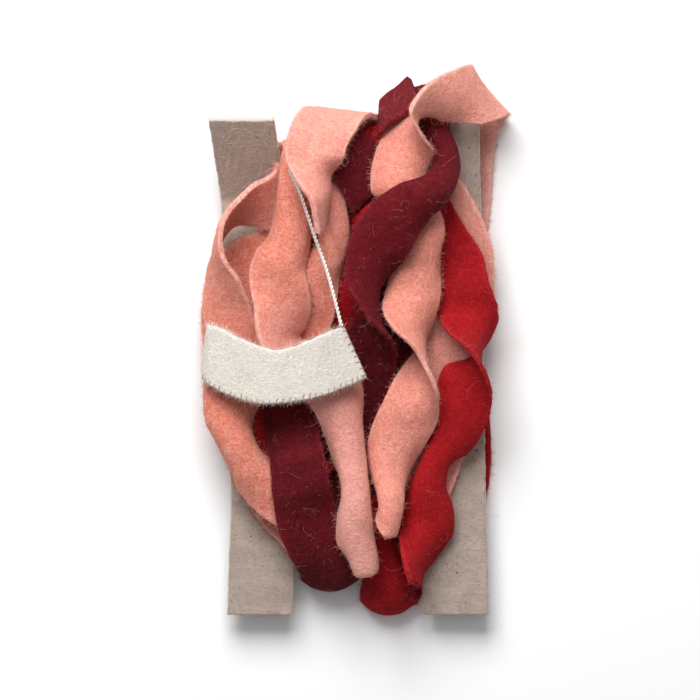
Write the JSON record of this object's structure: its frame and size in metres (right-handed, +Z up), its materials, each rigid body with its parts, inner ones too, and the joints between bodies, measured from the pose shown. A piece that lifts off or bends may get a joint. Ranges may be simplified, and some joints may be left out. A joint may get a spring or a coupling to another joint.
{
  "type": "ribbon garland on card winder",
  "caption": "Loosely twisted felt ribbons in pink, burgundy and red, wound over a grey H-shaped card winder, with a crescent cream felt tab sewn on and a thin string",
  "frame": {"origin": "the middle of the bounding box's underside, on the table under the garland", "axes": "+Z up from the table, through the board's thickness; +Y along the board's legs to the garland's top end; +X to the right as seen from above"},
  "size_m": [0.1546, 0.2754, 0.0738],
  "materials": {
    "pink_felt": "matte wool felt",
    "burgundy_felt": "matte wool felt",
    "red_felt": "matte wool felt",
    "cream_felt": "matte wool felt",
    "string": "twisted cotton",
    "board": "matte recycled board with flecks"
  },
  "bodies": {
    "root": {"card_winder": "board", "pink_ribbon_low_left": "pink_felt", "pink_ribbon_far_left": "pink_felt", "pink_ribbon_centre_left": "pink_felt", "pink_ribbon_top_left": "pink_felt", "pink_ribbon_middle": "pink_felt", "pink_ribbon_right": "pink_felt", "pink_ribbon_behind": "pink_felt", "burgundy_ribbon_behind": "burgundy_felt", "burgundy_ribbon_under": "burgundy_felt", "burgundy_ribbon_centre": "burgundy_felt", "burgundy_ribbon_hook": "burgundy_felt", "burgundy_ribbon_middle": "burgundy_felt", "burgundy_ribbon_end": "burgundy_felt", "red_ribbon_middle": "red_felt", "red_ribbon_low": "red_felt", "red_ribbon_right": "red_felt", "red_ribbon_behind": "red_felt", "cream_tab": "cream_felt", "twisted_string": "string"}
  },
  "joints": []
}
